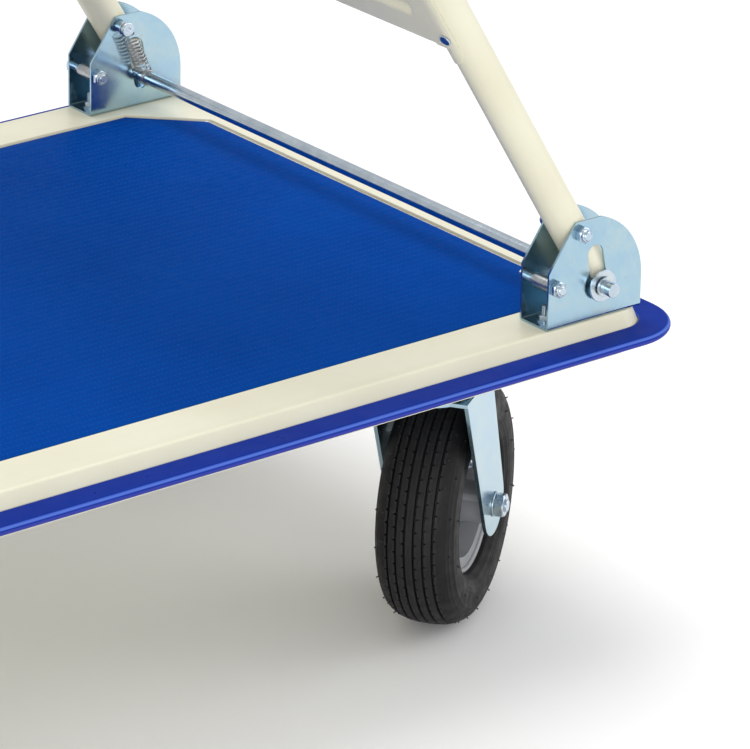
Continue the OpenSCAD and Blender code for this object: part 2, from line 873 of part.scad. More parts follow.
// Hollow tyre: crown and sidewalls down to two beads that sit on the rim
module tyre_profile() {
    bead_y = rim_half - rim_t;
    bead_w = 8;
    lip = rim_d / 2 + clear;
    difference() {
        polygon(concat(
            section_arc(section_c, section_y, section_z, -45, 225, 40),
            [[lip, -bead_y], [seat_r, -bead_y], [seat_r, bead_w - bead_y]],
            section_arc(section_c - 1, section_y - wall_t, section_z - wall_t - 1,
                        240, -60, 32),
            [[seat_r, bead_y - bead_w], [seat_r, bead_y], [lip, bead_y]]));
        for (i = [-2.5:1:2.5])
            translate([tyre_d / 2 - tread_d - abs(i) * 0.55, i * tread_pitch - tread_w / 2])
                square([2 * tread_d, tread_w]);
    }
}

module tyre(name) {
    color(black) at_wheel(name) rotate_extrude($fn = 96) tyre_profile();
}

// Air-filled inner tube that lines the tyre
module inner_tube(name) {
    c = section_c - 1;
    a = section_y - wall_t - clear;
    b = section_z - wall_t - 1 - clear;
    color(black) at_wheel(name) rotate_extrude($fn = 96) difference() {
        polygon(section_arc(c, a, b, -90, 270, 32));
        polygon(section_arc(c, a - tube_wall, b - tube_wall, -90, 270, 32));
    }
}

// One pressed half of the split rim, with its half of the hub
module rim_half_profile() {
    flange_y = rim_half - rim_t;
    difference() {
        union() {
            translate([bearing_r, 0]) square([hub_r - bearing_r, hub_w / 2]);
            translate([bearing_r, 0]) square([seat_r - bearing_r, rim_t]);
            translate([seat_r - rim_t, 0]) square([rim_t - 0.1, flange_y + rim_t]);
            translate([seat_r - rim_t, flange_y]) square([rim_d / 2 - seat_r + rim_t - lip_r, rim_t]);
            translate([rim_d / 2 - lip_r, flange_y + lip_r]) circle(r = lip_r, $fn = 24);
        }
        translate([0, seam - 3]) square([rim_d, 3]);
    }
}

module rim(name) {
    color(rim_grey) at_wheel(name) difference() {
        for (s = [0, 1]) mirror([0, 0, s]) rotate_extrude($fn = 96) rim_half_profile();
        for (i = [0:rim_bolt_n - 1]) rotate(100 + i * 360 / rim_bolt_n)
            translate([rim_bolt_r, 0, 0])
                cylinder(d = rim_bolt_d + 2 * punch, h = 4 * rim_t, center = true);
    }
}

module rim_bolts(name) {
    color(zinc) at_wheel(name) for (i = [0:rim_bolt_n - 1])
        rotate(100 + i * 360 / rim_bolt_n) translate([rim_bolt_r, 0, 0]) {
            translate([0, 0, -rim_t]) cylinder(d = rim_bolt_d, h = 2 * rim_t + 11);
            translate([0, 0, -rim_t - 5]) hex(nut_af, 5);
            translate([0, 0, rim_t]) lock_nut(nut_af, nut_h, rim_bolt_d + 2 * run);
        }
}

module bearings(name) {
    color(steel) at_wheel(name) for (s = [0, 1]) mirror([0, 0, s])
        translate([0, 0, hub_w / 2 - bearing_w]) difference() {
            cylinder(r = bearing_r, h = bearing_w);
            translate([0, 0, -1]) cylinder(r = axle_d / 2 + run, h = bearing_w + 2);
        }
}

// ------------------------------------------------------------------ nodes

deck_pan();
deck_mat();
bumper();
side_rails();
cross_members();
end_rails();
bracket(-1);  // left_bracket
bracket(1);  // right_bracket
bracket_bolts();
bracket_nuts();
pivot_bolts();
pivot_nuts();
stop_bolts();
stop_sleeves();
stop_nuts();
return_springs();
release_rod();
rod_washers();
rod_clips();
handle_tube();
handle_panel();
panel_screws();
caster_bolts();
caster_nuts();
for (c = ["rear_left", "rear_right"]) {
    swivel_plate(c);
    kingpin(c);
    balls(c);
    swivel_fork(c);
    axle(c);
    spacers(c);
}
for (c = ["front_left", "front_right"]) {
    rigid_fork(c);
    axle(c);  // front_axles
    spacers(c);  // front_spacers
}
for (c = CASTERS) {
    tyre(c);
    inner_tube(c);
    rim(c);
    rim_bolts(c);
    bearings(c);
}
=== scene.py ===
import json
import math

import bmesh
import bpy
import numpy as np
from mathutils import Matrix, Vector

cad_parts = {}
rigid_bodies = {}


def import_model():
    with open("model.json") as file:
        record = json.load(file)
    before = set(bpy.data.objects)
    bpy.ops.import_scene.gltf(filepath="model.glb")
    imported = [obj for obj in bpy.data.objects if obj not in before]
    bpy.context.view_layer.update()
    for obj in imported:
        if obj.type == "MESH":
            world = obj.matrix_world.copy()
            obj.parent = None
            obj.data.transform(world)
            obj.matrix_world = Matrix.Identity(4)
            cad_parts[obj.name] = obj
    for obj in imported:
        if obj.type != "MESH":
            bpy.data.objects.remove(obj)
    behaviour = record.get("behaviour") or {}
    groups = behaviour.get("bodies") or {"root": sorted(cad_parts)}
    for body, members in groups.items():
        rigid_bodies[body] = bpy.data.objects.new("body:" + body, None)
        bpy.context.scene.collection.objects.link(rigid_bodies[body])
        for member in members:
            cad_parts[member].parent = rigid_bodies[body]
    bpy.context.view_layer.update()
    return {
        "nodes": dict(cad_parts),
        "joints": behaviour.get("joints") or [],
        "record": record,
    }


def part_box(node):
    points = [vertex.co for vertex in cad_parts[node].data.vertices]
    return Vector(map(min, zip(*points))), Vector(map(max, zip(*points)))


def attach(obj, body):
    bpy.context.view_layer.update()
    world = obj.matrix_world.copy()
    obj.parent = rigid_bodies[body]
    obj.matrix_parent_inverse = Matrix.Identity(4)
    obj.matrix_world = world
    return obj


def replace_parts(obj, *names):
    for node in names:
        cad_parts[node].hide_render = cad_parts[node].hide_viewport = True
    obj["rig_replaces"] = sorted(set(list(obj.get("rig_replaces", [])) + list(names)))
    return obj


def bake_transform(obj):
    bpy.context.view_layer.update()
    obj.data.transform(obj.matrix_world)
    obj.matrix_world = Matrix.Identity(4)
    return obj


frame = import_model()

MM = 0.001
UP = Vector((0, 0, 1))
BOLT_SIDES = 48
RING_SLOT = 1  # a fastener piece's second material, its nuts' locking rings
# diameter, pitch, width across the flats and height of the head
M6, M8 = (6 * MM, MM, 10 * MM, 4 * MM), (8 * MM, 1.25 * MM, 13 * MM, 5 * MM)
M10, M12 = (10 * MM, 1.5 * MM, 16 * MM, 6 * MM), (12 * MM, 1.75 * MM, 19 * MM, 7.5 * MM)
# width across the flats, height and bore
NUT_8, NUT_10 = (13 * MM, 8 * MM, 8 * MM), (16 * MM, 9 * MM, 10 * MM)


# ------------------------------------------------------------- mesh helpers
class Shape:
    """Vertices and faces gathered for one mesh."""

    def __init__(self):
        self.verts, self.faces, self.mats, self.count = [], [], [], 0

    def add(self, verts, faces, matrix=None, mat=0):
        verts = np.asarray(verts, float).reshape(-1, 3)
        flip = False
        if matrix is not None:
            m = np.array(matrix, float)
            verts = verts @ m[:3, :3].T + m[:3, 3]
            flip = np.linalg.det(m[:3, :3]) < 0
        self.verts.append(verts)
        for face in faces:
            face = [int(i) + self.count for i in face]
            self.faces.append(face[::-1] if flip else face)
            self.mats.append(mat)
        self.count += len(verts)

    def build(self, name, materials, angle=35):
        mesh = bpy.data.meshes.new(name)
        mesh.from_pydata(np.concatenate(self.verts), [], self.faces)
        mesh.polygons.foreach_set("material_index", self.mats)
        for m in materials:
            mesh.materials.append(m)
        mesh.validate()
        obj = bpy.data.objects.new(name, mesh)
        bpy.context.scene.collection.objects.link(obj)
        shade(obj, angle)
        return obj


def shade(obj, angle):
    """Smooth shading that keeps edges sharper than angle."""
    mesh = obj.data
    mesh.polygons.foreach_set("use_smooth", [True] * len(mesh.polygons))
    bm = bmesh.new()
    bm.from_mesh(mesh)
    limit = math.radians(angle)
    for e in bm.edges:
        e.smooth = len(e.link_faces) != 2 or e.calc_face_angle(0) < limit
    bm.to_mesh(mesh)
    bm.free()


def grid(rows, cols, wrap_rows=False, wrap_cols=False):
    """Quads of a grid of rows x cols points."""
    r = np.arange(rows if wrap_rows else rows - 1)
    c = np.arange(cols if wrap_cols else cols - 1)
    a, b = np.meshgrid(r, c, indexing="ij")
    a2, b2 = (a + 1) % rows, (b + 1) % cols
    return np.stack(
        [a * cols + b, a * cols + b2, a2 * cols + b2, a2 * cols + b], -1
    ).reshape(-1, 4)


def turned(rows, n):
    """Solid about Z from rows of (z, radius); radius may be an array of n."""
    ang = np.arange(n) * 2 * np.pi / n
    pts = np.array(
        [
            np.stack([np.cos(ang) * r, np.sin(ang) * r, np.full(n, z)], -1)
            for z, r in rows
        ]
    )
    faces = [list(f) for f in grid(len(rows), n, wrap_cols=True)]
    last = (len(rows) - 1) * n
    faces.append(list(range(n))[::-1])
    faces.append([last + i for i in range(n)])
    return pts.reshape(-1, 3), faces


def hex_radius(af, n):
    """Radii of a hexagon of width af across the flats, at n angles."""
    ang = np.degrees(np.arange(n) * 2 * np.pi / n)
    return af / 2 / np.cos(np.radians((ang + 30) % 60 - 30))


def hex_chamfer(af, n):
    """Depth below a hexagon's end and radii there, from its face to its full corners."""
    edge = hex_radius(af, n)
    return [(d * af, np.minimum(edge, af * 0.475 + d * af * 1.73))
            for d in (0, 0.012, 0.03, 0.055, 0.085)]


def hex_rows(af, z0, z1, n):
    """Rows of a hexagon prism whose corners are chamfered at its ends."""
    cut = hex_chamfer(af, n)
    return [(z0 + d, r) for d, r in cut] + [(z1 - d, r) for d, r in cut[::-1]]


def thread_rows(d, pitch, z0, z1, n):
    """Rows of a threaded shank with a chamfered end at z1."""
    steps = max(8, int(round((z1 - z0) / pitch * 6)))
    turn = np.arange(n) / n
    depth = 0.6 * pitch
    rows = []
    for i in range(steps + 1):
        z = z0 + (z1 - z0) * i / steps
        wave = np.abs(((z / pitch - turn) % 1) * 2 - 1)
        r = d / 2 - depth * np.clip(wave * 1.25 - 0.12, 0, 1)
        rows.append((z, np.minimum(r, d / 2 - depth * 0.9 + (z1 - z) * 0.9)))
    return rows


def frame_at(origin, z_axis, x_axis=None):
    """Matrix with its Z along z_axis and its X near x_axis."""
    z = Vector(z_axis).normalized()
    x = Vector(x_axis) if x_axis is not None else Vector((1, 0, 0))
    if abs(x.normalized().dot(z)) > 0.95:
        x = Vector((0, 1, 0))
    y = z.cross(x).normalized()
    x = y.cross(z)
    m = Matrix((x, y, z)).transposed().to_4x4()
    m.translation = origin
    return m


def add_bolt(shape, m, size, length, thread):
    """Hex bolt whose head's face meets z = 0 and whose shank runs up to length."""
    d, pitch, head_af, head_h = size
    n = BOLT_SIDES
    plain = length - thread
    shape.add(*turned(head_rows(head_af, head_h, n), n), m)
    shape.add(*turned([(-MM, d / 2), (plain, d / 2)], n), m)
    shape.add(*turned(thread_rows(d, pitch, plain, length, n), n), m)


def head_rows(af, h, n):
    """Hex head below z = 0: chamfered outer face, a thin round seat at z = 0."""
    seat = np.full(n, af * 0.49)
    rows = [(-h + d, r) for d, r in hex_chamfer(af, n)]
    return rows + [(-0.035 * af, hex_radius(af, n)), (-0.034 * af, seat), (0, seat)]


def add_lock_nut(shape, m, size):
    """Nut with its foot at z = 0 and a rolled collar that holds a locking ring."""
    af, h, d = size
    n = BOLT_SIDES
    hexa = hex_rows(af, 0, h * 0.68, n)
    collar = [
        (h * 0.66, af * 0.45),
        (h * 0.80, af * 0.435),
        (h * 0.93, af * 0.42),
        (h * 0.985, af * 0.39),
        (h, af * 0.36),
        (h * 0.99, af * 0.335),
        (h * 0.955, d * 0.56),
    ]
    shape.add(*turned(hexa, n), m)
    shape.add(*turned([(z, np.full(n, r)) for z, r in collar], n), m)
    pts, faces = turned([(h * 0.95, np.full(n, af * 0.33)), (h * 0.972, np.full(n, d * 0.52))], n)
    shape.add(pts, faces, m, RING_SLOT)


def tube_along(path, radius, sides):
    """Vertices and faces of a wire along a path of points."""
    path = np.array(path, float)
    d = np.gradient(path, axis=0)
    d /= np.linalg.norm(d, axis=1)[:, None]
    up = np.cross(d[0], [0.3, 0.5, 0.8])
    up /= np.linalg.norm(up)
    ang = np.arange(sides) * 2 * np.pi / sides
    pts = []
    for p, t in zip(path, d):
        up = up - t * np.dot(up, t)
        up /= np.linalg.norm(up)
        side = np.cross(t, up)
        pts.append(p + radius * (np.outer(np.cos(ang), up) + np.outer(np.sin(ang), side)))
    n = len(path)
    faces = [list(f) for f in grid(n, sides, wrap_cols=True)]
    faces.append(list(range(sides))[::-1])
    faces.append([(n - 1) * sides + i for i in range(sides)])
    return np.concatenate(pts), faces


# ---------------------------------------------------------------- materials
def srgb(*rgb):
    """Linear colour of 8-bit display values."""
    out = []
    for c in rgb:
        c /= 255
        out.append(c / 12.92 if c <= 0.04045 else ((c + 0.055) / 1.055) ** 2.4)
    return (*out, 1)


class Mat:
    """Node material whose patterns are sized in the frame's metres."""

    def __init__(self, name, **fixed):
        self.m = bpy.data.materials.new(name)
        self.m.use_nodes = True
        self.t = self.m.node_tree
        self.bsdf = self.t.nodes["Principled BSDF"]
        for k, v in fixed.items():
            self.bsdf.inputs[k.replace("_", " ")].default_value = v
        self.co = self.t.nodes.new("ShaderNodeTexCoord").outputs["Object"]

    def node(self, kind, **values):
        n = self.t.nodes.new(kind)
        for k, v in values.items():
            n.inputs[k].default_value = v
        return n

    def link(self, a, b):
        self.t.links.new(a, b)

    def coords(self, scale):
        n = self.node("ShaderNodeMapping", Scale=scale)
        self.link(self.co, n.inputs["Vector"])
        return n.outputs["Vector"]

    def noise(self, size, detail=3.0, rough=0.55, stretch=(1, 1, 1)):
        """Noise whose grains are about size metres across."""
        n = self.node("ShaderNodeTexNoise", Scale=1 / size, Detail=detail, Roughness=rough)
        self.link(self.coords(stretch), n.inputs["Vector"])
        return n.outputs["Fac"]

    def cells(self, size):
        """Distance to the middle of cells about size metres across."""
        n = self.node("ShaderNodeTexVoronoi", Scale=1 / size)
        self.link(self.co, n.inputs["Vector"])
        return n.outputs["Distance"]

    def ramp(self, fac, *stops):
        n = self.t.nodes.new("ShaderNodeValToRGB")
        e = n.color_ramp.elements
        while len(e) < len(stops):
            e.new(0.5)
        for el, (p, c) in zip(e, stops):
            el.position = p
            el.color = c if isinstance(c, tuple) else (c, c, c, 1)
        self.link(fac, n.inputs["Fac"])
        return n.outputs["Color"]

    def mix(self, fac, a, b):
        n = self.t.nodes.new("ShaderNodeMix")
        n.data_type = "RGBA"
        for sock, v in ((0, fac), (6, a), (7, b)):
            if isinstance(v, (int, float, tuple)):
                n.inputs[sock].default_value = v
            else:
                self.link(v, n.inputs[sock])
        return n.outputs[2]

    def math(self, op, a, b=0.0):
        n = self.t.nodes.new("ShaderNodeMath")
        n.operation = op
        for i, v in enumerate((a, b)):
            if isinstance(v, (int, float)):
                n.inputs[i].default_value = v
            else:
                self.link(v, n.inputs[i])
        return n.outputs[0]

    def edges(self, low, high):
        """1 on convex edges, 0 elsewhere."""
        g = self.t.nodes.new("ShaderNodeNewGeometry")
        return self.ramp(g.outputs["Pointiness"], (low, 0.0), (high, 1.0))

    def tilt(self, *stops):
        """Ramp over how far a face looks up: 0 on a wall, 1 on a level face."""
        n = self.t.nodes.new("ShaderNodeSeparateXYZ")
        self.link(self.t.nodes["Texture Coordinate"].outputs["Normal"], n.inputs[0])
        return self.ramp(n.outputs["Z"], *stops)

    def bump(self, *layers):
        """Bump from (height, distance, strength) layers."""
        last = None
        for height, distance, strength in layers:
            n = self.t.nodes.new("ShaderNodeBump")
            n.inputs["Distance"].default_value = distance
            n.inputs["Strength"].default_value = strength
            self.link(height, n.inputs["Height"])
            if last is not None:
                self.link(last, n.inputs["Normal"])
            last = n.outputs["Normal"]
        self.link(last, self.bsdf.inputs["Normal"])

    def colour(self, out):
        self.link(out, self.bsdf.inputs["Base Color"])

    def rough(self, out):
        self.link(out, self.bsdf.inputs["Roughness"])


def paint(name, base, shade_to, edge_highlight, peel=0.9e-3, rough=(0.34, 0.46)):
    """Powder coat: orange peel, cloudy tone, fine dust specks, a painted highlight on convex
    edges.
    """
    m = Mat(name, Specular_IOR_Level=0.5, Coat_Weight=0.25, Coat_Roughness=0.22)
    tone = m.ramp(m.noise(0.09, 4), (0.3, shade_to), (0.7, base))
    specks = m.ramp(m.cells(0.009), (0.0, 1.0), (0.05, 0.0))
    tone = m.mix(m.math("MULTIPLY", specks, 0.35), tone, srgb(120, 112, 96))
    scuff = m.ramp(m.noise(0.02, 6, 0.7, (1, 1, 0.12)), (0.62, 0.0), (0.8, 1.0))
    tone = m.mix(m.math("MULTIPLY", scuff, 0.10), tone, srgb(150, 146, 132))
    # painted highlight: convex edges mixed halfway to a lighter copy of the paint
    m.colour(m.mix(m.math("MULTIPLY", m.edges(0.52, 0.60), 0.5), tone, edge_highlight))
    m.rough(m.ramp(m.noise(0.015, 4), (0.3, rough[0]), (0.7, rough[1])))
    m.bump((m.noise(peel, 2), 0.06e-3, 0.35), (m.noise(0.006, 3), 0.15e-3, 0.18))
    return m.m


def zinc(name, base, tint_a, tint_b, rough=(0.16, 0.34), grain=(1, 1, 0.05)):
    """Bright zinc plate: rolling lines, blue and straw tints, water spots."""
    m = Mat(name, Metallic=1.0)
    cloud = m.noise(0.03, 5, 0.65)
    tint = m.ramp(cloud, (0.25, tint_a), (0.5, base), (0.75, tint_b))
    spots = m.ramp(m.noise(0.0045, 3, 0.6), (0.60, 0.0), (0.72, 1.0))
    tint = m.mix(m.math("MULTIPLY", spots, 0.22), tint, srgb(150, 156, 162))
    m.colour(tint)
    lines = m.noise(0.0011, 4, 0.7, grain)
    m.rough(m.ramp(m.math("ADD", m.math("MULTIPLY", lines, 0.5),
                          m.math("MULTIPLY", cloud, 0.5)),
                   (0.35, rough[0]), (0.65, rough[1])))
    m.bump((lines, 0.012e-3, 0.25), (m.noise(0.02, 3), 0.10e-3, 0.12))
    return m.m


def make_materials():
    mats = {}
    mats["cream_paint"] = paint(
        "cream_powder_coat", srgb(219, 216, 194), srgb(212, 208, 184), srgb(236, 234, 218)
    )
    # vinyl mat: printed speckle, fine pebble and slow wear from boots
    m = Mat("mat_vinyl", Specular_IOR_Level=0.01)
    tone = m.ramp(m.noise(0.16, 5), (0.3, srgb(0, 55, 133)), (0.7, srgb(0, 61, 143)))
    speck = m.ramp(m.noise(0.0024, 3, 0.7), (0.6, 0.0), (0.74, 1.0))
    tone = m.mix(m.math("MULTIPLY", speck, 0.30), tone, srgb(0, 76, 160))
    dust = m.ramp(m.noise(0.05, 6, 0.7), (0.55, 0.0), (0.8, 1.0))
    tone = m.mix(m.math("MULTIPLY", dust, 0.08), tone, srgb(24, 84, 160))
    # painted highlight: the raised dashes' convex edges painted a brighter blue
    m.colour(m.mix(m.math("MULTIPLY", m.edges(0.52, 0.6), 0.35), tone, srgb(10, 96, 188)))
    m.rough(m.ramp(m.noise(0.008, 4), (0.3, 0.44), (0.7, 0.6)))
    m.bump((m.noise(0.0006, 2), 0.05e-3, 0.4), (m.cells(0.0017), 0.08e-3, 0.25))
    mats["mat_vinyl"] = m.m
    # soft PVC bumper
    m = Mat("bumper_vinyl", Specular_IOR_Level=0.03)
    tone = m.ramp(m.noise(0.12, 5), (0.3, srgb(0, 36, 128)), (0.7, srgb(0, 42, 140)))
    scuff = m.ramp(m.noise(0.012, 6, 0.75, (0.15, 1, 1)), (0.62, 0.0), (0.78, 1.0))
    tone = m.mix(m.math("MULTIPLY", scuff, 0.10), tone, srgb(40, 70, 150))
    # painted reflection of the floor lightens its side, and a painted highlight runs along its
    # rounded upper edge
    tone = m.mix(m.tilt((0.0, 0.55), (0.35, 0.0)), tone, srgb(70, 74, 160))
    painted_edge_highlight = m.tilt((0.3, 0.0), (0.55, 0.75), (0.8, 0.6), (0.96, 0.0))
    m.colour(m.mix(painted_edge_highlight, tone, srgb(92, 122, 212)))
    m.rough(m.ramp(m.noise(0.02, 4), (0.3, 0.26), (0.7, 0.42)))
    m.bump((m.noise(0.0007, 2), 0.04e-3, 0.3), (m.noise(0.01, 3), 0.1e-3, 0.15))
    mats["bumper_vinyl"] = m.m
    mats["zinc_plate"] = zinc(
        "zinc_plate", srgb(160, 188, 202), srgb(146, 179, 202), srgb(178, 195, 198),
        rough=(0.14, 0.26), grain=(1, 1, 0.25),
    )
    mats["zinc_fastener"] = zinc(
        "zinc_fastener", srgb(190, 202, 212), srgb(170, 192, 214), srgb(208, 208, 196),
        rough=(0.2, 0.38),
    )
    # bright drawn rod with fine turning marks
    m = Mat("bright_rod", Metallic=1.0)
    cloud = m.noise(0.02, 4)
    m.colour(m.ramp(cloud, (0.3, srgb(170, 184, 198)), (0.7, srgb(198, 208, 216))))
    marks = m.noise(0.0009, 3, 0.6, (0.2, 1, 0.2))
    m.rough(m.ramp(marks, (0.3, 0.10), (0.7, 0.24)))
    m.bump((marks, 0.015e-3, 0.3), (cloud, 0.05e-3, 0.1))
    mats["bright_rod"] = m.m
    # plain steel, lightly oiled
    m = Mat("plain_steel", Metallic=1.0)
    cloud = m.noise(0.008, 5, 0.7)
    m.colour(m.ramp(cloud, (0.3, srgb(150, 152, 154)), (0.7, srgb(190, 192, 194))))
    m.rough(m.ramp(m.noise(0.0015, 4), (0.3, 0.25), (0.7, 0.42)))
    m.bump((m.noise(0.0007, 3), 0.02e-3, 0.3), (cloud, 0.04e-3, 0.15))
    mats["steel"] = m.m
    # tyre rubber with bloom and mould grain
    m = Mat("tyre_rubber", Specular_IOR_Level=0.3)
    tone = m.ramp(m.noise(0.03, 5, 0.6), (0.3, srgb(9, 9, 10)), (0.7, srgb(15, 15, 16)))
    dust = m.ramp(m.noise(0.006, 6, 0.7), (0.55, 0.0), (0.8, 1.0))
    tone = m.mix(m.math("MULTIPLY", dust, 0.14), tone, srgb(60, 60, 62))
    # painted highlight: convex rib edges mixed halfway to a lighter grey
    m.colour(m.mix(m.math("MULTIPLY", m.edges(0.52, 0.6), 0.5), tone, srgb(62, 62, 65)))
    m.rough(m.ramp(m.noise(0.01, 4), (0.3, 0.5), (0.7, 0.72)))
    m.bump((m.noise(0.0006, 3), 0.05e-3, 0.5), (m.noise(0.004, 4), 0.12e-3, 0.2))
    mats["tyre_rubber"] = m.m
    m = Mat("tube_rubber", Specular_IOR_Level=0.4)
    m.colour(m.ramp(m.noise(0.02, 4), (0.3, srgb(24, 24, 26)), (0.7, srgb(36, 36, 38))))
    m.rough(m.ramp(m.noise(0.005, 3), (0.3, 0.5), (0.7, 0.65)))
    m.bump((m.noise(0.001, 3), 0.04e-3, 0.3))
    mats["tube_rubber"] = m.m
    mats["rim_paint"] = paint(
        "rim_paint", srgb(146, 148, 152), srgb(132, 134, 138), srgb(192, 194, 198),
        peel=0.7e-3, rough=(0.32, 0.44),
    )
    m = Mat("nylon_ring", Specular_IOR_Level=0.5)
    m.colour(m.ramp(m.noise(0.003, 3), (0.3, srgb(214, 222, 226)), (0.7, srgb(232, 236, 236))))
    m.rough(m.ramp(m.noise(0.002, 2), (0.3, 0.35), (0.7, 0.5)))
    m.bump((m.noise(0.0008, 2), 0.03e-3, 0.3))
    mats["nylon_ring"] = m.m
    return mats


MATS = make_materials()


def finish_piece(obj, body, slot, *nodes):
    """Rides a piece on its body, in place of the CAD nodes it stands for."""
    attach(obj, body)
    if nodes:
        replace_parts(obj, *nodes)


# ------------------------------------------------------------------- places
JOINTS = {j["name"]: j for j in frame["joints"]}
SLOTS = {p["node"]: p["material_slot"] for p in frame["record"]["subparts"]}
NODE_BODY = {
    n: b for b, names in frame["record"]["behaviour"]["bodies"].items() for n in names
}

bracket_low, bracket_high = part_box("left_bracket")
bracket_x = bracket_low.x
deck_top = bracket_low.z
bracket_y = abs(bracket_low.y + bracket_high.y) / 2
bracket_half = (bracket_high.y - bracket_low.y) / 2
rail_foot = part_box("side_rails")[0].z
pivot = Vector(JOINTS["handle_fold"]["pos_m"])
rod_low, rod_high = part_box("release_rod")
rod_centre = (rod_low + rod_high) / 2
rod_radius = (rod_high.z - rod_low.z) / 2
# sizes that part.scad gives these pieces
BASE_BOLTS = (12 * MM, 88 * MM)
STOP = (8 * MM, 38 * MM)
PLATE_BOLTS = (52.5 * MM, 40 * MM)
RIM_BOLTS = 40 * MM
RAIL_SHEET, BRACKET_SHEET = 2.5 * MM, 2 * MM
HANDLE_LEAN = math.radians(31.5)
HANDLE_AXES = Matrix.Rotation(-HANDLE_LEAN, 4, "Y")
HANDLE_LENGTH, HANDLE_BEND, TUBE_WALL = 640 * MM, 90 * MM, 2 * MM
TUBE_R = 16 * MM
FORK_HALF = 44 * MM
RIM_SHEET = 2 * MM
WHEELS = ("rear_left", "rear_right", "front_left", "front_right")


def wheel_frame(name):
    """Wheel's own frame: X along the cart, Y up, Z outwards along the axle."""
    j = JOINTS[f"wheel_{name}_spin"]
    side = -1 if name.endswith("left") else 1
    out = Vector(j["axis"]).normalized()
    if out.y * side < 0:
        out = -out
    along = out.cross(UP)
    if along.x < 0:
        along = -along
    m = Matrix((along, UP, out)).transposed().to_4x4()
    m.translation = Vector(j["pos_m"])
    return m


# -------------------------------------------------------------------- tyres
SECTION_A, SECTION_B = 36 * MM, 26 * MM
SECTION_C = 84 * MM
WALL = 6 * MM
GROOVES = [i * 8 * MM for i in (-2.5, -1.5, -0.5, 0.5, 1.5, 2.5)]
GROOVE_HALF, GROOVE_DEPTH = 1.0 * MM, 3.2 * MM
TURNS = 540
NICK_STEP = 9


def section_point(c, a, b, t):
    """Point of the tyre's rounded-box section: radius and height along the axle."""
    t = math.radians(t)
    s, k = math.sin(t), math.cos(t)
    return (
        c + b * math.copysign(abs(s) ** 0.8, s),
        a * math.copysign(abs(k) ** 0.8, k),
    )


def crown_radius(w):
    return SECTION_C + SECTION_B * (1 - (abs(w) / SECTION_A) ** 2.5) ** 0.4


def sidewall_ridge(r, w):
    """How far the moulded rings stand out of the sidewall at radius r."""
    rings = ((101, 0.5, 0.35), (97.5, 0.5, 0.35), (92, 1.4, 0.55), (78, 0.45, 0.3),
             (74.5, 0.45, 0.3), (69, 1.2, 0.7))
    out = 0.0
    for centre, half, height in rings:
        d = abs(r / MM - centre) / half
        if d < 1.5:
            out += height * MM * max(0.0, 1 - d * d / 2.25)
    return out


def tyre_rows():
    """Rows of (radius, height, nick): nick shifts the rib's edge at each sipe."""
    rows = []
    edge_w = 26 * MM
    edge_t = math.degrees(math.acos((edge_w / SECTION_A) ** 1.25))
    side = []
    steps = 62
    for i in range(steps + 1):
        t = -45 + (edge_t + 45) * i / steps
        r, w = section_point(SECTION_C, SECTION_A, SECTION_B, t)
        # hold back first, so that the moulded rings stay inside the CAD width
        w -= 0.0 if r > 103 * MM else 0.7 * MM * min(1, (103 * MM - r) / (6 * MM))
        side.append((r, w + sidewall_ridge(r, w), 0))
    rows += side
    # tread from the +w shoulder across to the -w shoulder
    tread = []
    shoulder = [24.6 * MM, 23.4 * MM]
    for w in shoulder:
        tread.append((crown_radius(w), w, 0))
    for g in sorted(GROOVES, reverse=True):
        near, far = (1, 0) if g > 0 else (0, -1)
        for w, depth, nick in (
            (g + GROOVE_HALF + 0.35 * MM, 0.0, near),
            (g + GROOVE_HALF, 0.12, near),
            (g + GROOVE_HALF * 0.8, 0.55, near),
            (g + GROOVE_HALF * 0.7, 1.0, near * 0.3),
            (g - GROOVE_HALF * 0.7, 1.0, far * 0.3),
            (g - GROOVE_HALF * 0.8, 0.55, far),
            (g - GROOVE_HALF, 0.12, far),
            (g - GROOVE_HALF - 0.35 * MM, 0.0, far),
        ):
            tread.append((crown_radius(w) - depth * GROOVE_DEPTH, w, nick))
        tread.append((crown_radius(g - 4 * MM), g - 4 * MM, 0))
    tread = tread[:-1]
    for w in reversed(shoulder):
        tread.append((crown_radius(w), -w, 0))
    rows += tread
    rows += [(r, -w, 0) for r, w, k in reversed(side)]
    # bead and the inside
    bead, lip, seat = 19 * MM, 64.3 * MM, 52 * MM
    rows += [(lip, -bead, 0), (seat, -bead, 0), (seat, 8 * MM - bead, 0)]
    for i in range(33):
        r, w = section_point(SECTION_C - MM, SECTION_A - WALL, SECTION_B - WALL - MM,
                             240 - 300 * i / 32)
        rows.append((r, w, 0))
    rows += [(seat, bead - 8 * MM, 0), (seat, bead, 0), (lip, bead, 0)]
    return rows


